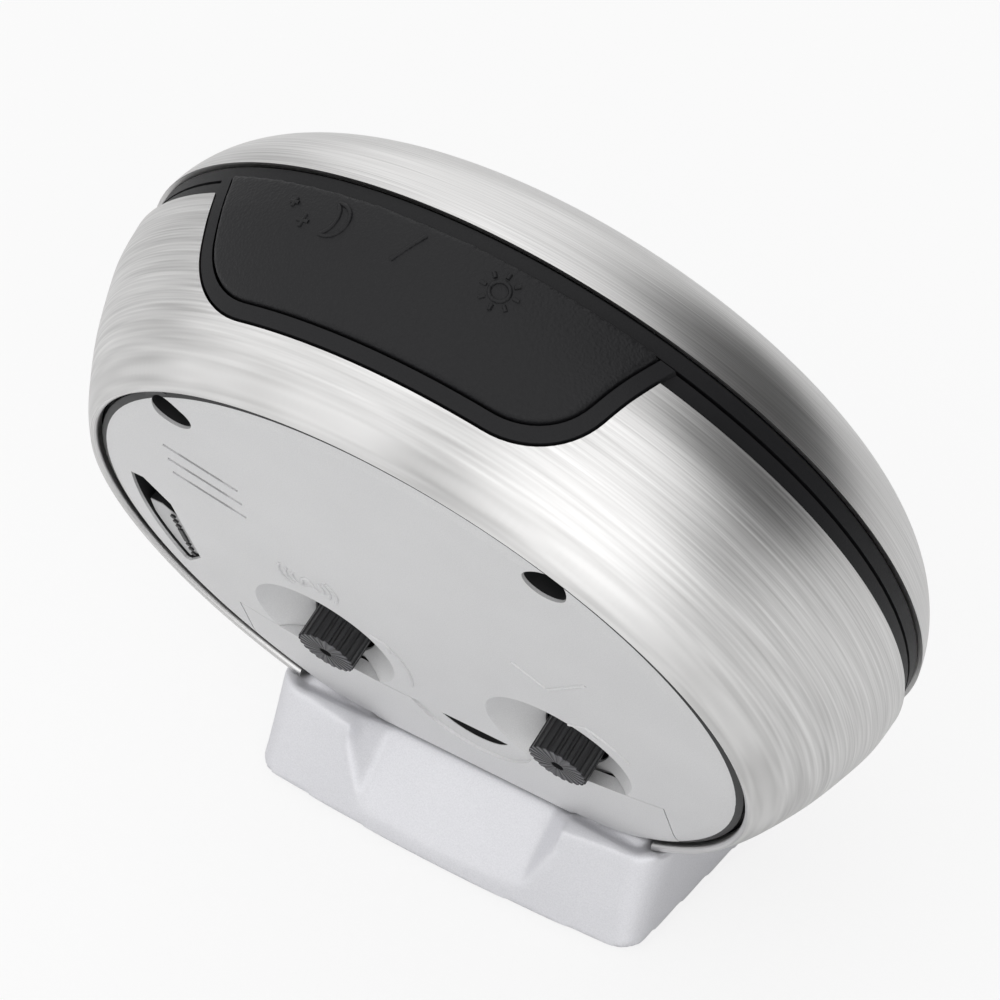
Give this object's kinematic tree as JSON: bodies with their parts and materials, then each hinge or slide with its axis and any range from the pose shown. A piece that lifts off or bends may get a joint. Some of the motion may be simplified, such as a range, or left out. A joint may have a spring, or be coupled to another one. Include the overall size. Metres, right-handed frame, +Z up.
{
  "type": "analogue alarm clock",
  "caption": "Round bedside alarm clock in a brushed steel case that leans back on a silver foot, with a long snooze button, slide switch, setting knobs and battery door.",
  "frame": {"origin": "middle of the clock's outline on the table, at the height that the foot's pads rest on", "axes": "+Z up from the table, -Y towards the reader of the dial, +X to the right seen from the front"},
  "size_m": [0.1004, 0.0616, 0.0988],
  "materials": {
    "black_metal": "black painted hands",
    "black_plastic": "fine leather grain",
    "cast_silver": "satin silver paint on casting",
    "cell_wrap": "printed sleeve without words",
    "circuit_green": "laminate",
    "copper_wire": "enamelled wire",
    "dial_white": "printed dial",
    "glass_clear": "polished",
    "natural_plastic": "moulded clockwork plastic",
    "nickel": "nickel plated",
    "red_paint": "red painted hand",
    "rubber_grey": "moulded rubber",
    "silver_plastic": "fine sandy silver paint",
    "steel": "brushed round the case",
    "white_plastic": "moulded clockwork plastic"
  },
  "bodies": {
    "case": {"alarm_switch_contacts": "white_plastic", "battery": "cell_wrap", "battery_contact_minus": "nickel", "battery_contact_plus": "nickel", "battery_spring": "nickel", "button_board": "circuit_green", "buzzer": "black_plastic", "circuit_board": "circuit_green", "cover_screws": "nickel", "dial": "dial_white", "dial_lamp": "white_plastic", "dial_ring": "black_plastic", "driver_chip": "black_plastic", "foot": "cast_silver", "foot_pads": "rubber_grey", "foot_screws": "nickel", "front_bezel": "steel", "front_housing": "black_plastic", "lens": "glass_clear", "movement_case": "black_plastic", "movement_front_plate": "white_plastic", "quartz_crystal": "nickel", "rear_cover": "silver_plastic", "rear_housing": "black_plastic", "rear_shell": "steel", "snooze_switch": "nickel", "stator": "nickel", "stepper_coil": "copper_wire"},
    "snooze_button": {"snooze_button": "black_plastic"},
    "alarm_switch": {"alarm_switch": "black_plastic"},
    "battery_door": {"battery_door": "silver_plastic"},
    "time_knob": {"time_knob": "black_plastic"},
    "setting_wheel": {"setting_wheel": "natural_plastic"},
    "minute_hand": {"minute_hand": "black_metal"},
    "hour_hand": {"hour_hand": "black_metal"},
    "alarm_knob": {"alarm_knob": "black_plastic"},
    "alarm_hand": {"alarm_hand": "red_paint"},
    "second_hand": {"second_hand": "black_metal"},
    "third_wheel": {"third_wheel": "natural_plastic"},
    "centre_wheel": {"centre_wheel": "white_plastic"},
    "step_wheel": {"step_wheel": "white_plastic"},
    "rotor": {"rotor": "white_plastic"}
  },
  "joints": [
    {"name": "snooze_press", "type": "slide", "parent": "case", "child": "snooze_button", "axis": [0, -0.342, -0.9397], "range_m": [0, 0.0012], "stiffness_N_per_m": 1500, "springref_m": -0.0004},
    {"name": "alarm_slide", "type": "slide", "parent": "case", "child": "alarm_switch", "axis": [0, 0.342, 0.9397], "range_m": [0, 0.005]},
    {"name": "battery_door_swing", "type": "hinge", "parent": "case", "child": "battery_door", "pos_m": [0, 0.0034, 0.01048], "axis": [-1, 0, 0], "range_deg": [0, 25]},
    {"name": "time_setting", "type": "hinge", "parent": "case", "child": "time_knob", "pos_m": [-0.016, 0.00143, 0.02993], "axis": [0, 0.9397, -0.342], "continuous": true},
    {"name": "setting_wheel_spin", "type": "hinge", "parent": "case", "child": "setting_wheel", "pos_m": [-0.00753, -0.00478, 0.04211], "axis": [0, 0.9397, -0.342], "continuous": true},
    {"name": "minute_hand_turn", "type": "hinge", "parent": "case", "child": "minute_hand", "pos_m": [0, -0.00665, 0.0516], "axis": [0, 0.9397, -0.342], "continuous": true},
    {"name": "hour_hand_turn", "type": "hinge", "parent": "case", "child": "hour_hand", "pos_m": [0, -0.00665, 0.0516], "axis": [0, 0.9397, -0.342], "continuous": true},
    {"name": "alarm_setting", "type": "hinge", "parent": "case", "child": "alarm_knob", "pos_m": [0.016, 0.00143, 0.02993], "axis": [0, 0.9397, -0.342], "continuous": true},
    {"name": "alarm_hand_turn", "type": "hinge", "parent": "case", "child": "alarm_hand", "pos_m": [0, -0.00665, 0.0516], "axis": [0, 0.9397, -0.342], "continuous": true},
    {"name": "second_hand_turn", "type": "hinge", "parent": "case", "child": "second_hand", "pos_m": [0, -0.00665, 0.0516], "axis": [0, 0.9397, -0.342], "continuous": true},
    {"name": "third_wheel_spin", "type": "hinge", "parent": "case", "child": "third_wheel", "pos_m": [-0.00656, 0.00072, 0.05723], "axis": [0, 0.9397, -0.342], "continuous": true},
    {"name": "centre_wheel_spin", "type": "hinge", "parent": "case", "child": "centre_wheel", "pos_m": [0, -0.00195, 0.04989], "axis": [0, 0.9397, -0.342], "continuous": true},
    {"name": "step_wheel_spin", "type": "hinge", "parent": "case", "child": "step_wheel", "pos_m": [0.00816, -0.00065, 0.05346], "axis": [0, 0.9397, -0.342], "continuous": true},
    {"name": "rotor_spin", "type": "hinge", "parent": "case", "child": "rotor", "pos_m": [0.00997, 0.00166, 0.05982], "axis": [0, 0.9397, -0.342], "continuous": true}
  ],
  "couplings": [
    {"joint": "time_setting", "follows": "minute_hand_turn", "ratio": 0.66667},
    {"joint": "setting_wheel_spin", "follows": "minute_hand_turn", "ratio": -0.33333},
    {"joint": "hour_hand_turn", "follows": "minute_hand_turn", "ratio": 0.083333},
    {"joint": "alarm_setting", "follows": "alarm_hand_turn", "ratio": -2},
    {"joint": "second_hand_turn", "follows": "rotor_spin", "ratio": 0.033333},
    {"joint": "third_wheel_spin", "follows": "rotor_spin", "ratio": -0.0044444},
    {"joint": "centre_wheel_spin", "follows": "rotor_spin", "ratio": 0.00055556},
    {"joint": "step_wheel_spin", "follows": "rotor_spin", "ratio": -0.16667}
  ]
}
